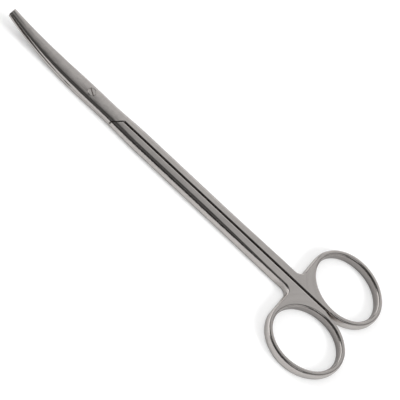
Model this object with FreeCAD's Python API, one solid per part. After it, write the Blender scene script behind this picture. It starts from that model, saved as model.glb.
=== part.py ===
# Dissecting scissors with curved blades, closed and lying flat on the underside of joint and rings.
# Lengths are in millimetres. The origin is on the pivot's axis, on the table. X runs to the blade
# tips, Z is up, and Y runs to the lower arm's finger ring.
import math
import os

import FreeCAD
import Part

V = FreeCAD.Vector

# Whole object
thickness = 4.6  # joint, shanks and rings
tip_x = 41.6  # pivot to blade tips
curve_start_x = 7.5  # where the blades begin to curve up
curve_radius = 130.0  # of the upward curve, seen from the side
tip_thickness = 1.8  # both blades together at the tips
thickness_taper = 1.2  # above 1 the blades thin more towards their tips

# Widths of the closed pair, from its long axis outwards
joint_half_width = 3.5
tip_half_width = 1.8
width_taper = 1.4  # above 1 the blades narrow more towards their tips
shank_half_width = 4.1
widening_start_x = -8.0  # the joint widens to the shanks between these two
widening_end_x = -26.0

# Blade tips
tip_crossing = 0.42  # how far each blade has passed the other
tip_corner_radius = 0.8  # seen from above
tip_side_radius = 0.5  # on each blade's outer face, seen from the side
tip_offset = 0.02  # the roundings start this far outside the faces that they meet

# Sections of the forged arms; each corner's rounding is wide across and tall up the side
shank_round_across = 1.6
shank_round_up = 2.1
ring_round_across = 0.9
ring_round_up = 2.0
ring_round_start_x = -60.0  # the shank's rounding turns into the ring's from here to the ring
back_share_across = 0.62  # joint and blades, on the side that doesn't cut, of the half width
back_share_up = 0.20  # of the thickness
back_start_x = -22.0  # the shank's rounding turns into the back's between these two
back_end_x = -8.0
edge_share_across = 0.22  # blades, on the side that cuts, of the half width
edge_share_up = 0.25  # of the thickness
edge_start_x = -20.0  # the shank's rounding turns into the cutting side's between these two
edge_end_x = 25.0
crown = 0.12  # rise of the ground top face at its middle
grinding = 0.05  # forged on below the underside and ground off flat
station_step = 5.0  # between the sections of an arm

# Lap joint
lap_gap = 0.10  # between the lapped faces and between the blades
shank_gap = 0.70  # between the closed shanks
shoulder_x = -16.3  # where the slanted shoulders cross the long axis
shoulder_gap = 0.40  # width of the groove at each shoulder
edge_bevel_across = 0.35  # on the edges of inner faces and shoulders
edge_bevel_down = 0.12

# Pivot screw
screw_head_radius = 1.65
screw_head_height = 1.1
screw_neck_radius = 1.10
screw_running_gap = 0.05  # round neck and head in the upper arm
screw_grip = 0.01  # thread interference in the lower arm
slot_width = 0.45
slot_depth = 0.6
slot_angle = 147.0  # from X, in degrees
rim_bevel = 0.12  # on the edges of the head and of its seat

# Finger rings
ring_x = -119.5
ring_tilt = 9.7  # degrees by which each ring's front end leans outwards
hole_half_length = 13.9
hole_half_width = 11.5
ring_wall = 2.45
inner_wall = 2.57  # between the hole and the inner face
neck_fillet = 2.6
run_out = 7.0  # length over which the inner face's square edge turns into the ring's round
ring_start_x = -96.0  # where the shank runs into the ring piece
join_tolerance = 0.002

# Worked out from the sizes above
lap_z = thickness / 2
half_gap = shank_gap / 2
corner_x_shift = shoulder_gap / math.sqrt(2) - half_gap
tilt = math.radians(ring_tilt)
ring_y = half_gap + inner_wall + math.hypot(hole_half_length * math.sin(tilt), hole_half_width * math.cos(tilt))

# Extent of cutting tools, clear of the whole object
above = thickness + 8.0
below = -5.0
beside = 2.5 * ring_y
behind = ring_x - 30.0
ahead = tip_x + 20.0


# Outline of the closed pair along X

def ease(share):
    # smooth step from 0 to 1
    s = min(max(share, 0), 1)
    return s * s * (3 - 2 * s)


def middle_z(x):
    # height of the surface on which the arms slide, halfway through the pair
    run = max(x - curve_start_x, 0)
    return lap_z + curve_radius - math.sqrt(curve_radius**2 - run**2)


def pair_thickness(x):
    share = max(x - curve_start_x, 0) / (tip_x - curve_start_x)
    return thickness - (thickness - tip_thickness) * share**thickness_taper


def outer_z(x, upper):
    # height of the pair's top, or of its underside
    side = 1 if upper else -1
    return middle_z(x) + side * pair_thickness(x) / 2


def half_width(x):
    share_to_tip = max(x, 0) / tip_x
    front = joint_half_width - (joint_half_width - tip_half_width) * share_to_tip**width_taper
    share = ease((widening_start_x - x) / (widening_start_x - widening_end_x))
    return front + (shank_half_width - front) * share


def crossing(x):
    # sideways shift of each blade across the long axis
    return tip_crossing * (max(x, 0) / tip_x) ** 2


# Forged body of shank, joint and blade

def quarter(x, y, z, ry, rz, start):
    # quarter of an ellipse in the plane at x, from one of its axes to the next
    angles = [math.radians(start + turn) for turn in (0, 45, 90)]
    if abs(ry - rz) < 1e-6:
        points = [V(x, y + ry * math.cos(a), z + rz * math.sin(a)) for a in angles]
        return Part.Arc(*points).toShape()
    if ry > rz:
        ellipse = Part.Ellipse(V(x, y + ry, z), V(x, y, z + rz), V(x, y, z))
        return Part.ArcOfEllipse(ellipse, angles[0], angles[2]).toShape()
    ellipse = Part.Ellipse(V(x, y, z + rz), V(x, y - ry, z), V(x, y, z))
    return Part.ArcOfEllipse(ellipse, angles[0] - math.pi / 2, angles[2] - math.pi / 2).toShape()


def between(first, second, share):
    return [a + (b - a) * share for a, b in zip(first, second)]


def corner_radii(x):
    # roundings across and up of the corners, anticlockwise from low on the -Y side; the upper
    # blade cuts with its edge on the -Y side and the lower blade with its edge on the +Y side
    w = half_width(x)
    t = pair_thickness(x)
    shank = (shank_round_across, shank_round_up)
    ring = (ring_round_across, ring_round_up)
    back = (back_share_across * w, back_share_up * t)
    edge = (edge_share_across * w, edge_share_up * t)
    shank = between(shank, ring, ease((x - ring_round_start_x) / (ring_start_x - ring_round_start_x)))
    back = between(shank, back, ease((x - back_start_x) / (back_end_x - back_start_x)))
    edge = between(shank, edge, ease((x - edge_start_x) / (edge_end_x - edge_start_x)))
    return back, edge, back, edge


def section(x, upper):
    # outline of the pair's full thickness at x; the other arm's half is cut away later
    y = -crossing(x) if upper else crossing(x)
    w = half_width(x) - crossing(x)
    ground_off = grinding * ease((tip_x - x) / 20)
    rise = crown * ease((x - ring_start_x) / 30)
    low = outer_z(x, False) - ground_off
    top = outer_z(x, True)
    high = top - rise
    left, right = y - w, y + w
    a, b, c, d = corner_radii(x)
    top_right = V(x, right - c[0], high)
    top_left = V(x, left + d[0], high)
    if rise > 0:
        roof = Part.Arc(top_right, V(x, (top_right.y + top_left.y) / 2, top), top_left).toShape()
    else:
        roof = Part.makeLine(top_right, top_left)
    edges = [
        Part.makeLine(V(x, left + a[0], low), V(x, right - b[0], low)),
        quarter(x, right - b[0], low + b[1], b[0], b[1], 270),
        Part.makeLine(V(x, right, low + b[1]), V(x, right, high - c[1])),
        quarter(x, right - c[0], high - c[1], c[0], c[1], 0),
        roof,
        quarter(x, left + d[0], high - d[1], d[0], d[1], 90),
        Part.makeLine(V(x, left, high - d[1]), V(x, left, low + a[1])),
        quarter(x, left + a[0], low + a[1], a[0], a[1], 180),
    ]
    return Part.Wire(edges)


def front_body(upper):
    # shank, joint and blade as one smooth body of the pair's outer form
    count = round((tip_x - ring_start_x) / station_step)
    stations = [ring_start_x + (tip_x - ring_start_x) * i / count for i in range(count + 1)]
    return Part.makeLoft([section(x, upper) for x in stations], True, False)


# Cuts that make an arm out of the body

def prism(points, z0, z1):
    # upright block over an outline of straight sides
    corners = [V(x, y, z0) for x, y in points]
    face = Part.Face(Part.makePolygon(corners + corners[:1]))
    return face.extrude(V(0, 0, z1 - z0))


def underside_cut():
    # what is ground off below the flat underside
    return prism([(behind, -beside), (ahead, -beside), (ahead, beside), (behind, beside)], below, 0)


def sliding_block(over):
    # everything over, or under, the surface on which the arms slide: flat at the joint, and a
    # surface of revolution round the pivot at the blades, so that they stay in touch as they turn
    shift = lap_gap / 2
    z = lap_z - shift if over else lap_z + shift
    end = above if over else below
    reach = tip_x + 4
    middle = (curve_start_x + reach) / 2
    rise = middle_z(reach) - lap_z
    middle_rise = middle_z(middle) - lap_z
    bend = V(curve_start_x, 0, z)
    curve = Part.Arc(bend, V(middle, 0, z + middle_rise), V(reach, 0, z + rise)).toShape()
    sides = Part.makePolygon([V(reach, 0, z + rise), V(reach, 0, end), V(0, 0, end), V(0, 0, z), bend])
    half_plan = Part.Face(Part.Wire([curve] + sides.Edges))
    half_plan.rotate(V(0, 0, 0), V(0, 0, 1), -90)
    front = half_plan.revolve(V(0, 0, 0), V(0, 0, 1), 180)
    rear = prism([(behind, -beside), (0, -beside), (0, beside), (behind, beside)], min(z, end), max(z, end))
    return front.fuse(rear)


def lap_cut(upper):
    # space of the other arm's half of the joint and of its blade
    side = -1 if upper else 1
    corner_x = shoulder_x - corner_x_shift
    wide = 2 * shank_half_width
    outline = [
        (behind, -side * wide),
        (ahead, -side * wide),
        (ahead, side * wide),
        (corner_x + wide - half_gap, side * wide),
        (corner_x, side * half_gap),
        (behind, side * half_gap),
    ]
    return prism(outline, below, above).common(sliding_block(not upper))


def shank_cut(upper):
    # space of the other arm's shank
    side = 1 if upper else -1
    corner_x = shoulder_x + corner_x_shift
    wide = 2 * shank_half_width
    outline = [
        (behind, -side * half_gap),
        (corner_x, -side * half_gap),
        (corner_x + wide + half_gap, side * wide),
        (behind, side * wide),
    ]
    return prism(outline, below, above)


def tip_cut(upper):
    # rounds the blade's end, seen from above
    side = -1 if upper else 1
    r = tip_corner_radius
    x = tip_x - r
    y = side * crossing(x)
    w = half_width(x) - crossing(x) + tip_offset
    block = prism([(x, y - w - 1), (ahead, y - w - 1), (ahead, y + w + 1), (x, y + w + 1)], below, above)
    kept = [(x - 1, y - w + r), (tip_x, y - w + r), (tip_x, y + w - r), (x - 1, y + w - r)]
    keep = prism(kept, below - 1, above + 1)
    for s in (-1, 1):
        keep = keep.fuse(Part.makeCylinder(r, above - below + 2, V(x, y + s * (w - r), below - 1)))
    return block.cut(keep)


def tip_side_cut(upper):
    # rounds the blade's end on its outer face, seen from the side
    side = 1 if upper else -1
    r = tip_side_radius
    x = tip_x - r
    slope = (outer_z(tip_x, upper) - outer_z(x, upper)) / r
    length = math.hypot(1, slope)
    z = outer_z(x, upper) - side * (r * length - tip_offset)
    touch_x = x - side * r * slope / length
    touch_z = z + side * r / length
    far_z = z + side * 4
    y = -tip_half_width - 1
    corners = [V(tip_x, y, z), V(ahead, y, z), V(ahead, y, far_z)]
    corners += [V(touch_x - side * slope, y, far_z), V(touch_x, y, touch_z)]
    face = Part.Face(Part.makePolygon(corners + corners[:1]))
    block = face.extrude(V(0, -2 * y, 0))
    return block.cut(Part.makeCylinder(r, -2 * y + 2, V(x, y - 1, z), V(0, 1, 0)))


def top_edge_bar(upper):
    # bevels the top edges of the inner face and of the slanted shoulder in one mitred sweep
    side = -1 if upper else 1
    across = edge_bevel_across
    down = edge_bevel_down
    y = side * half_gap
    rear = V(ring_x - run_out, y, 0)
    corner = V(shoulder_x - side * corner_x_shift, y, 0)
    wide = 2 * shank_half_width
    path = Part.makePolygon([rear, corner, corner + V(wide, wide, 0)])
    triangle = [(-across, thickness - 2 * down), (2 * across, thickness + down), (-across, thickness + down)]
    points = [rear + V(0, side * u, z) for u, z in triangle]
    profile = Part.makePolygon(points + points[:1])
    return path.makePipeShell([profile], True, False, 1)


def edge_bars(upper):
    # the underside's edges are those of the other arm's top, turned over
    turned = top_edge_bar(not upper)
    turned.rotate(V(0, 0, lap_z), V(1, 0, 0), 180)
    return [top_edge_bar(upper), turned]


def round_hole(radius, z0, z1):
    return Part.makeCylinder(radius, z1 - z0, V(0, 0, z0))


def screw_holes(upper):
    if not upper:
        return [round_hole(screw_neck_radius - screw_grip, below, above)]
    seat = thickness - screw_head_height
    neck = round_hole(screw_neck_radius + screw_running_gap, below, above)
    r = screw_head_radius + screw_running_gap
    rim = Part.makeCone(r, r + 2 * rim_bevel, 2 * rim_bevel, V(0, 0, thickness - rim_bevel))
    return [neck, round_hole(r, seat, above), rim]


# Finger ring, on the lower arm's side

def ring_point(a, b, y, t):
    u, v = a * math.cos(t), b * math.sin(t)
    return V(ring_x + u * math.cos(tilt) - v * math.sin(tilt), y + u * math.sin(tilt) + v * math.cos(tilt), 0)


def ring_ellipse(a, b, y):
    return Part.Ellipse(ring_point(a, b, y, 0), ring_point(a, b, y, math.pi / 2), V(ring_x, y, 0))


def outer_ellipse():
    # half axes and centre height of the outer outline, which touches the inner face's plane
    a = hole_half_length + ring_wall
    b = hole_half_width + ring_wall
    top = ring_y + math.hypot(a * math.sin(tilt), b * math.cos(tilt))
    reach = (top - half_gap) / 2
    b = math.sqrt(reach**2 - (a * math.sin(tilt)) ** 2) / math.cos(tilt)
    return a, b, half_gap + reach


def ring_outline():
    # end of the shank, neck and ring: the inner face runs straight into the ellipse, and the
    # neck's front goes straight from the ellipse's foremost point to the shank
    a, b, y = outer_ellipse()
    foremost = math.atan2(-b * math.sin(tilt), a * math.cos(tilt))
    lowest = math.atan2(-b * math.cos(tilt), -a * math.sin(tilt))
    ring = Part.ArcOfEllipse(ring_ellipse(a, b, y), foremost, lowest + 2 * math.pi).toShape()
    front = ring_point(a, b, y, foremost)
    r = neck_fillet
    side = V(front.x + r, shank_half_width, 0)
    top = V(front.x, shank_half_width + r, 0)
    middle = V(front.x + r - r / math.sqrt(2), shank_half_width + r - r / math.sqrt(2), 0)
    points = [ring_point(a, b, y, lowest), V(ring_start_x, half_gap, 0), V(ring_start_x, side.y, 0), side]
    edges = Part.makePolygon(points).Edges + [Part.Arc(side, middle, top).toShape()]
    return Part.Wire(Part.__sortEdges__(edges + [Part.makeLine(top, front), ring]))


def inner_edge_bar(height):
    # restores the square edges of the inner face, which run out into the ring's round
    x1 = ring_x + 1
    x2 = x1 - run_out
    inside = half_gap + ring_round_across + 0.01
    outline = [(ring_start_x, half_gap), (x1, half_gap), (x2, inside + ring_round_across), (x1, inside)]
    outline.append((ring_start_x, inside))
    return prism(outline, 0, height)


def ring_piece():
    # made low, so that a round fillet on it turns oval when it is stretched to its full height
    stretch = ring_round_up / ring_round_across
    height = (thickness + grinding) / stretch
    rim = Part.Face(ring_outline())
    hole = Part.Face(Part.Wire([ring_ellipse(hole_half_length, hole_half_width, ring_y).toShape()]))
    body = rim.extrude(V(0, 0, height)).cut(hole.extrude(V(0, 0, height)))
    level_edges = []
    for edge in body.Edges:
        box = edge.BoundBox
        if box.ZLength < 0.001 and box.XLength > 0.01:
            level_edges.append(edge)
    body = body.makeFillet(ring_round_across, level_edges)
    body = body.fuse(inner_edge_bar(height)).removeSplitter()
    matrix = FreeCAD.Matrix()
    matrix.scale(1, 1, stretch)
    body = body.transformGeometry(matrix)
    body.translate(V(0, 0, -grinding))
    return body


# Nodes

def make_arm(upper):
    arm = front_body(upper)
    for cutter in [tip_cut(upper), tip_side_cut(upper), lap_cut(upper), shank_cut(upper)] + screw_holes(upper):
        arm = arm.cut(cutter)
    ring = ring_piece()
    if upper:
        ring = ring.mirror(V(0, 0, 0), V(0, 1, 0))
    arm = arm.fuse([ring], join_tolerance).removeSplitter()
    for cutter in [underside_cut()] + edge_bars(upper):
        arm = arm.cut(cutter)
    return arm.removeSplitter()


def make_screw():
    seat = thickness - screw_head_height
    rim_z = thickness - rim_bevel
    head = round_hole(screw_head_radius, seat + screw_running_gap, rim_z)
    rim = Part.makeCone(screw_head_radius, screw_head_radius - rim_bevel, rim_bevel, V(0, 0, rim_z))
    body = head.fuse([rim, round_hole(screw_neck_radius, 0, thickness - slot_depth / 2)])
    length = 2 * screw_head_radius + 2
    slot = Part.makeBox(length, slot_width, slot_depth + 1)
    slot.translate(V(-length / 2, -slot_width / 2, thickness - slot_depth))
    slot.rotate(V(0, 0, 0), V(0, 0, 1), slot_angle)
    return body.cut(slot).removeSplitter()


def main():
    os.makedirs("parts", exist_ok=True)
    nodes = {"upper_arm": make_arm(True), "lower_arm": make_arm(False), "pivot_screw": make_screw()}
    for name, shape in nodes.items():
        print(name, "solids:", len(shape.Solids), "valid:", shape.isValid(), "mm3:", round(shape.Volume, 1))
        shape.exportStep("parts/" + name + ".step")


main()
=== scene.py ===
# %% [markdown]
# # Dissecting scissors in satin steel
#
# Three solids come ready from the packed frame: an upper arm, a lower arm and the slotted screw on
# which they turn. Nothing has to be modelled again, so this lesson is about what the eye reads as
# steel: the grain that a grinding belt leaves, a light tent for it to reflect, and a soft white
# table. Everything is in metres, in the frame's own axes: +X runs to the blade tips, +Z is up, and
# the origin is on the screw's axis at the table.

import math

import bpy
from mathutils import Matrix, Vector

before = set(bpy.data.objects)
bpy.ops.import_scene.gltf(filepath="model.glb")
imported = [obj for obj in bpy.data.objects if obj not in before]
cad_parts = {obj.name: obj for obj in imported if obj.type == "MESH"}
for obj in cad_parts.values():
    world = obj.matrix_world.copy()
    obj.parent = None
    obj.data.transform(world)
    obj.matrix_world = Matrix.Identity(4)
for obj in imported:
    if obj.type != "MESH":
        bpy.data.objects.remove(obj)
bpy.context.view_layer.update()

# %% [markdown]
# ## Writing shaders as sums
#
# A steel finish is a small piece of arithmetic over the surface: streaks, plus smudges, times a
# mask. Wiring that by hand hides the idea, so one class wraps a node's output socket. Adding or
# multiplying two of them places the Math node, and `node` places any other kind: it sets the
# node's own settings first and then its input values or links.

# %% A socket that can be added and multiplied
class Flow:
    def __init__(self, tree, socket=None):
        self.tree = tree
        self.socket = socket

    def node(self, kind, settings=None, inputs=None, output=0):
        made = self.tree.nodes.new(kind)
        for name, value in (settings or {}).items():
            setattr(made, name, value)
        for name, value in (inputs or {}).items():
            if isinstance(value, Flow):
                self.tree.links.new(value.socket, made.inputs[name])
            else:
                made.inputs[name].default_value = value
        return Flow(self.tree, made.outputs[output])

    def math(self, operation, *values):
        return self.node("ShaderNodeMath", {"operation": operation}, dict(enumerate(values)))

    def __add__(self, other):
        return self.math("ADD", self, other)

    def __radd__(self, other):
        return self.math("ADD", other, self)

    def __sub__(self, other):
        return self.math("SUBTRACT", self, other)

    def __rsub__(self, other):
        return self.math("SUBTRACT", other, self)

    def __mul__(self, other):
        return self.math("MULTIPLY", self, other)

    def place(self):
        # the point's own coordinates on the object, in metres
        return self.node("ShaderNodeTexCoord", output="Object")

    def split(self):
        # the three parts of a vector
        axes = self.node("ShaderNodeSeparateXYZ", inputs={"Vector": self})
        return [Flow(self.tree, part) for part in axes.socket.node.outputs]

    def mix(self, share, first, second):
        # first where share is 0, second where it is 1; both are flows or plain colours
        colours = [c if isinstance(c, Flow) else (*c, 1) for c in (first, second)]
        # inputs 6 and 7 and output 2 are the Mix node's sockets for colours
        inputs = {0: share, 6: colours[0], 7: colours[1]}
        return self.node("ShaderNodeMix", {"data_type": "RGBA"}, inputs, output=2)

    def ramp(self, low, high):
        # 0 at low, 1 at high, eased in between; it falls where low is the larger
        settings = {"interpolation_type": "SMOOTHSTEP"}
        inputs = {"Value": self, "From Min": low, "From Max": high}
        return self.node("ShaderNodeMapRange", settings, inputs)


print("a flow can:", [name for name in vars(Flow) if not name.startswith("_")])


# %% [markdown]
# ## Starting and closing a material
#
# Every material below starts in the same way. The metals keep the Principled shader and lead
# three sums into it: colour, roughness and a relief so shallow that only the light shows it. The
# table and the tent put a shader of their own in its place.

# %% Helpers for materials
def new_material(name):
    material = bpy.data.materials.new(name)
    material.use_nodes = True
    return material, Flow(material.node_tree)


def finish_metal(start, colour, roughness, bump):
    shader = start.tree.nodes["Principled BSDF"]
    shader.inputs["Metallic"].default_value = 1.0
    links = {"Base Color": colour, "Roughness": roughness, "Normal": bump}
    for socket, value in links.items():
        start.tree.links.new(value.socket, shader.inputs[socket])


def replace_shader(start, shader):
    nodes = start.tree.nodes
    nodes.remove(nodes["Principled BSDF"])
    start.tree.links.new(shader.socket, nodes["Material Output"].inputs["Surface"])


def dress(node, material):
    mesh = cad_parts[node].data
    mesh.materials.clear()
    mesh.materials.append(material)
    print(node, "gets", material.name)


print("pieces to dress:", len(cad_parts))


# %% [markdown]
# ## What a grinding belt leaves
#
# The forged arms are ground on belts and then brushed satin. The belt runs across the shanks, so
# its scratches lie across them: long in Y and Z, very short in X. A noise whose coordinates are
# stretched that way gives such scratches. Round the finger rings the belt follows the ring
# instead, so there the noise is read by distance from the ring's middle. The two patterns are
# blended where shank and ring meet. Real scratches change how the light spreads more than its
# colour, so they go mostly into Roughness and into a shallow Bump. A second mask finds the walls
# of the finger holes, by an oval that leans as the rings do; there the steel gets painted shade,
# a darker colour for the dark reflection inside the holes, and a little more roughness.

# %% Coordinates of the two belt directions, and the finger holes
RING_X = -0.1195
RING_Y = 0.0145
RING_BLEND_FRONT = -0.099  # the belt's direction turns between these two
RING_BLEND_REAR = -0.106
RING_SQUEEZE = 0.05  # how little the noise changes along the ring
RING_LEAN = math.radians(9.7)
HOLE_HALF_LENGTH = 0.0139
HOLE_HALF_WIDTH = 0.0115
HOLE_EDGE = (1.035, 1.005)  # share of the hole's size between which its wall begins


def from_ring_centre(place):
    """X and Y from the middle of the nearer ring, with both rings folded onto +Y."""
    x, y, _ = place.split()
    return x - RING_X, place.math("ABSOLUTE", y) - RING_Y


def belt_coordinates(start):
    """Returns the vector for noise across the shanks, that round the rings, and the rings' mask."""
    place = start.place()
    x, _, z = place.split()
    across_x, across_y = from_ring_centre(place)
    radius = start.math("SQRT", across_x * across_x + across_y * across_y)
    inputs = {"X": radius, "Y": across_x * RING_SQUEEZE, "Z": z}
    round_ring = start.node("ShaderNodeCombineXYZ", inputs=inputs)
    return place, round_ring, x.ramp(RING_BLEND_FRONT, RING_BLEND_REAR)


def inner_wall(start):
    """1 on the walls of the finger holes, 0 from where their rounding reaches the top."""
    across_x, across_y = from_ring_centre(start.place())
    cos, sin = math.cos(RING_LEAN), math.sin(RING_LEAN)
    long = (across_x * cos + across_y * sin) * (1 / HOLE_HALF_LENGTH)
    wide = (across_y * cos - across_x * sin) * (1 / HOLE_HALF_WIDTH)
    return start.math("SQRT", long * long + wide * wide).ramp(*HOLE_EDGE)


print("ring centres at x", RING_X, "and y +/-", RING_Y)


# %% [markdown]
# ## Satin steel
#
# Stainless steel is a metal with a slightly warm grey reflection. Three layers of detail sit on
# it: scratches about a fifth of a millimetre apart, broader streaks where the belt pressed
# harder, and faint smudges from handling that reach over the whole piece. The walls of the finger
# holes are a little rougher than the rest, and their colour is darker there as painted shade.

# %% Material for the forged arms
STEEL = (0.705, 0.667, 0.641)
STEEL_DARK = (0.645, 0.609, 0.586)
# painted shade: darker steel on the walls of the finger holes, for the dark reflection inside them
HOLE_WALL_SHADE = (0.375, 0.352, 0.339)
SCRATCHES = {"scale": 5200, "stretch": 0.03, "detail": 3}  # scale in waves per metre
STREAKS = {"scale": 700, "stretch": 0.10, "detail": 2}
STREAK_EDGES = (0.3, 0.7)  # values of the noise between which the darker steel takes over
SMUDGES = {"Scale": 90, "Detail": 4}
SMUDGE_EDGES = (0.35, 0.75)
TONE_SHARE = 0.5  # streaks and smudges each darken the steel by half
SATIN_ROUGHNESS = 0.13
ROUGH_SCRATCHES = 0.07  # what each layer adds to it
ROUGH_STREAKS = 0.03
ROUGH_SMUDGES = 0.03
ROUGH_INSIDE = 0.06
STREAK_RELIEF = 0.8  # of the scratches' relief
RELIEF_HEIGHT = 0.00002  # metres
SATIN_RELIEF = 0.12


def belt_noise(start, vectors, scale, stretch, detail):
    """Noise along the belt's direction: short one way, long the others."""
    place, round_ring, mask = vectors
    inputs = {"Vector": place, "Scale": (1, stretch, stretch)}
    across = start.node("ShaderNodeMapping", inputs=inputs)
    shank, ring = [
        start.node("ShaderNodeTexNoise", inputs={"Vector": v, "Scale": scale, "Detail": detail})
        for v in (across, round_ring)
    ]
    return shank * (1 - mask) + ring * mask


def satin_steel(name, shift):
    """Shift, in metres, moves the smudges, so that the two arms differ."""
    material, start = new_material(name)
    vectors = belt_coordinates(start)
    scratches = belt_noise(start, vectors, **SCRATCHES)
    streaks = belt_noise(start, vectors, **STREAKS)
    moved = {"Vector": vectors[0], "Location": (shift, shift / 2, 0)}
    shifted = start.node("ShaderNodeMapping", inputs=moved)
    smudges = start.node("ShaderNodeTexNoise", inputs={"Vector": shifted, **SMUDGES})
    tone = smudges.ramp(*SMUDGE_EDGES) * TONE_SHARE + streaks.ramp(*STREAK_EDGES) * TONE_SHARE
    inside = inner_wall(start)
    # the walls of the finger holes take the painted shade colour
    colour = start.mix(inside, start.mix(tone, STEEL, STEEL_DARK), HOLE_WALL_SHADE)
    roughness = SATIN_ROUGHNESS + scratches * ROUGH_SCRATCHES + streaks * ROUGH_STREAKS
    roughness = roughness + smudges * ROUGH_SMUDGES + inside * ROUGH_INSIDE
    relief = scratches + streaks * STREAK_RELIEF
    inputs = {"Height": relief, "Strength": SATIN_RELIEF, "Distance": RELIEF_HEIGHT}
    finish_metal(start, colour, roughness, start.node("ShaderNodeBump", inputs=inputs))
    return material


dress("upper_arm", satin_steel("satin_steel_upper", 0.0))
dress("lower_arm", satin_steel("satin_steel_lower", 0.37))


# %% [markdown]
# ## The screw's turned face
#
# A screw head is faced on a lathe and ground flush with the arm, so its marks are rings round its
# own axis, and it is a touch duller than the ground face round it.

# %% Material for the pivot screw
TURNING_RINGS = {"Scale": 1100, "Distortion": 1.5, "Detail": 2}
SCREW_SMUDGES = {"Scale": 900, "Detail": 3}
SCREW_SMUDGE_EDGES = (0.3, 0.7)
TURNED_ROUGHNESS = 0.16
ROUGH_RINGS = 0.08  # what each layer adds to it
ROUGH_SCREW_SMUDGES = 0.06
TURNED_RELIEF = 0.25


def turned_steel(name):
    material, start = new_material(name)
    place = start.place()
    settings = {"wave_type": "RINGS", "rings_direction": "Z"}
    inputs = {"Vector": place, **TURNING_RINGS}
    # output 1 is the wave's height
    rings = start.node("ShaderNodeTexWave", settings, inputs, output=1)
    smudges = start.node("ShaderNodeTexNoise", inputs={"Vector": place, **SCREW_SMUDGES})
    colour = start.mix(smudges.ramp(*SCREW_SMUDGE_EDGES), STEEL, STEEL_DARK)
    roughness = TURNED_ROUGHNESS + rings * ROUGH_RINGS + smudges * ROUGH_SCREW_SMUDGES
    inputs = {"Height": rings, "Strength": TURNED_RELIEF, "Distance": RELIEF_HEIGHT}
    finish_metal(start, colour, roughness, start.node("ShaderNodeBump", inputs=inputs))
    return material


dress("pivot_screw", turned_steel("turned_steel"))


# %% [markdown]
# ## A white table that keeps the shadow
#
# The table is plain diffuse white. To the camera it also glows a little, which lifts its open
# parts to full white and leaves the soft shadow beside the arms. Further off, where the soft boxes
# reach less, the glow grows, so that a low view doesn't end in a grey edge. The steel doesn't
# mirror the glow.

# %% Floor
FLOOR_HALF = 3.0  # metres
FLOOR_DROP = 0.00004  # just under the arms, so that the two faces don't flicker
TABLE_WHITE = 0.68
TABLE_GLOW = 0.37
FAR_TABLE = (0.25, 1.0)  # metres from the screw over which the glow grows to full white


def white_table():
    material, start = new_material("white_table")
    colour = (TABLE_WHITE, TABLE_WHITE, TABLE_WHITE, 1)
    matt = start.node("ShaderNodeBsdfDiffuse", inputs={"Color": colour})
    seen = start.node("ShaderNodeLightPath", output="Is Camera Ray")
    length = {"operation": "LENGTH"}
    distance = start.node("ShaderNodeVectorMath", length, {0: start.place()}, output="Value")
    strength = seen * (distance.ramp(*FAR_TABLE) * (1 - TABLE_GLOW) + TABLE_GLOW)
    light = start.node("ShaderNodeEmission", inputs={"Strength": strength})
    replace_shader(start, start.node("ShaderNodeAddShader", inputs={0: matt, 1: light}))
    return material


bpy.ops.object.select_all(action="DESELECT")
bpy.ops.mesh.primitive_plane_add(size=2 * FLOOR_HALF, location=(0, 0, -FLOOR_DROP))
floor = bpy.context.object
floor.name = "floor"
floor.data.materials.append(white_table())
print("floor", FLOOR_HALF * 2, "m wide")

# %% [markdown]
# ## The light tent
#
# Steel has no colour of its own: it shows what stands round it. These scissors were lit by a tall
# soft panel beyond them, with the near side and the ceiling left dark, and by two low panels off
# their ends, with dark cloth between them and the tall one. That is why the flat tops are bright,
# the near bevels dark, the side walls bright again from the table, and why the rings carry white
# lines. A small white card beside the camera lights the rounded edges that face it. One dome
# round the table holds the whole picture. Only the steel mirrors it: the camera doesn't see it,
# and it neither lights the table nor casts a shadow there. The world is the white room behind.

# %% Dome with a bright far side
DOME_RADIUS = 2.4
DOME_SEGMENTS = 48
DOME_RINGS = 24
GLOW_AT_TILT = (  # degrees from straight up towards the far side, and how bright the cloth is there
    (-90, 0.03),
    (-60, 0.03),
    (-35, 0.10),
    (-15, 0.08),
    (0, 0.04),
    (20, 0.26),
    (35, 0.57),
    (45, 0.56),
    (60, 0.80),
    (90, 0.60),
)
CLOTH_SIDE = (0.62, 0.48)  # share of the dome's radius, sideways, between which the dark cloth ends
CLOTH_DARK = 0.08
PANEL_SIDE = (0.72, 0.80)  # share of the dome's radius between which a low panel fades in
PANEL_TOP = (0.72, 0.60)  # share of it, upwards, between which a low panel fades out
TIP_PANEL_GLOW = 1.15
RING_PANEL_GLOW = 0.50
CARD_PLACE = (-0.42, 0.56, 0.71)  # direction of the small white card
CARD_EDGE = (math.cos(math.radians(18)), math.cos(math.radians(9)))  # it fades between these
CARD_GLOW = 0.8
ROOM_GLOW = 0.15  # of the white room on the table; the camera sees it as 1


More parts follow.
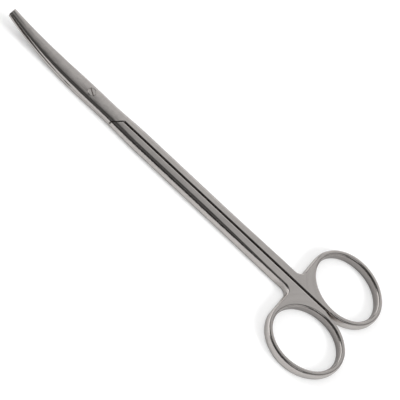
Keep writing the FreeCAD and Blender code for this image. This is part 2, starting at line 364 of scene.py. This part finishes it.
def tent_cloth():
    material, start = new_material("tent_cloth")
    x, y, z = [part * (1 / DOME_RADIUS) for part in start.place().split()]
    tilt = start.math("ARCTAN2", y * -1.0, z)
    # a tilt of -90 degrees is the ramp's start, and one of 90 its end
    cloth = start.node("ShaderNodeValToRGB", inputs={"Fac": tilt * (1 / math.pi) + 0.5})
    stops = cloth.socket.node.color_ramp.elements
    for degrees, _ in GLOW_AT_TILT[1:-1]:
        stops.new(degrees / 180 + 0.5)
    for stop, (_, glow) in zip(stops, GLOW_AT_TILT):
        stop.color = (glow, glow, glow, 1)
    middle = start.math("ABSOLUTE", x).ramp(*CLOTH_SIDE)
    low = z.ramp(*PANEL_TOP)
    tips = x.ramp(*PANEL_SIDE) * low
    rings = (x * -1.0).ramp(*PANEL_SIDE) * low
    facing = x * CARD_PLACE[0] + y * CARD_PLACE[1] + z * CARD_PLACE[2]
    card = facing.ramp(*CARD_EDGE)
    lit = cloth * middle + (1 - middle) * CLOTH_DARK
    panels = tips * TIP_PANEL_GLOW + rings * RING_PANEL_GLOW + card * CARD_GLOW
    strength = lit * (1 - tips - rings) + panels
    replace_shader(start, start.node("ShaderNodeEmission", inputs={"Strength": strength}))
    return material


bpy.ops.object.select_all(action="DESELECT")
bpy.ops.mesh.primitive_uv_sphere_add(
    segments=DOME_SEGMENTS, ring_count=DOME_RINGS, radius=DOME_RADIUS
)
tent = bpy.context.object
tent.name = "light_tent"
tent.data.materials.append(tent_cloth())
tent.visible_camera = False
tent.visible_diffuse = False
tent.visible_shadow = False

world = bpy.data.worlds.new("white_room")
bpy.context.scene.world = world
world.use_nodes = True
room = world.node_tree.nodes["Background"]
room.inputs["Color"].default_value = (1, 1, 1, 1)
seen = Flow(world.node_tree).node("ShaderNodeLightPath", output="Is Camera Ray")
brightness = seen * (1 - ROOM_GLOW) + ROOM_GLOW
world.node_tree.links.new(brightness.socket, room.inputs["Strength"])
print("tent radius", DOME_RADIUS, "m")

# %% [markdown]
# ## Soft boxes for the table
#
# The table is lit by three soft boxes that the steel doesn't mirror: a wide one overhead, which
# leaves a narrow shadow along each arm, and one off either end, whose light reaches under the
# raised blades and through the rings. The stronger of these stands off the rings' end, so their
# shadows fall mostly towards the blades.

# %% Three soft boxes
SOFT_BOXES = {  # place in metres, edge in metres, watts
    "ceiling_box": ((0.0, 0.0, 1.10), 1.4, 9.0),
    "tip_box": ((1.00, -0.05, 0.90), 0.4, 4.4),
    "ring_box": ((-1.10, -0.05, 0.90), 0.4, 8.0),
}

for name, (place, edge, watts) in SOFT_BOXES.items():
    data = bpy.data.lights.new(name, "AREA")
    data.shape = "SQUARE"
    data.size = edge
    data.energy = watts
    box = bpy.data.objects.new(name, data)
    bpy.context.scene.collection.objects.link(box)
    box.location = place
    box.rotation_euler = Vector(place).to_track_quat("Z", "Y").to_euler()
    box.visible_glossy = False
    box.visible_camera = False
print("soft boxes:", sorted(SOFT_BOXES))

# %% [markdown]
# ## The camera
#
# The scissors lie slantwise in the picture and are seen from the side of the lower arm's ring, a
# good third of the way down from straight above. A long lens from over half a metre keeps the two
# rings nearly the same size.

# %% Camera
IMAGE_WIDTH = 400  # pixels
FOCAL_PIXELS = 1550
SENSOR = 36.0  # mm
AIM = Vector((-0.0565, 0.00089, 0.0024))
DISTANCE = 0.575  # metres
CLIP_NEAR = 0.05
CLIP_FAR = 20
TILT = math.radians(34.6)  # from straight up, towards the lower arm's ring
TURN = math.radians(0.41)  # round the table's upright
ROLL = math.radians(43.43)  # round the line of sight

level = math.sin(TILT)
back = Vector((level * math.sin(TURN), level * math.cos(TURN), math.cos(TILT)))
level_right = (-back).cross(Vector((0, 0, 1))).normalized()
level_up = level_right.cross(-back)
right = math.cos(ROLL) * level_right + math.sin(ROLL) * level_up
up = -math.sin(ROLL) * level_right + math.cos(ROLL) * level_up

camera_data = bpy.data.cameras.new("camera")
camera_data.sensor_width = SENSOR
camera_data.lens = FOCAL_PIXELS / IMAGE_WIDTH * SENSOR
camera_data.clip_start = CLIP_NEAR
camera_data.clip_end = CLIP_FAR
camera = bpy.data.objects.new("camera", camera_data)
bpy.context.scene.collection.objects.link(camera)
turned = Matrix((right, up, back)).transposed().to_4x4()
camera.matrix_world = Matrix.Translation(AIM + back * DISTANCE) @ turned
bpy.context.scene.camera = camera
bpy.context.scene.view_settings.view_transform = "Standard"
print("lens", round(camera_data.lens, 1), "mm")
print("camera at", [round(c, 3) for c in camera.matrix_world.translation])
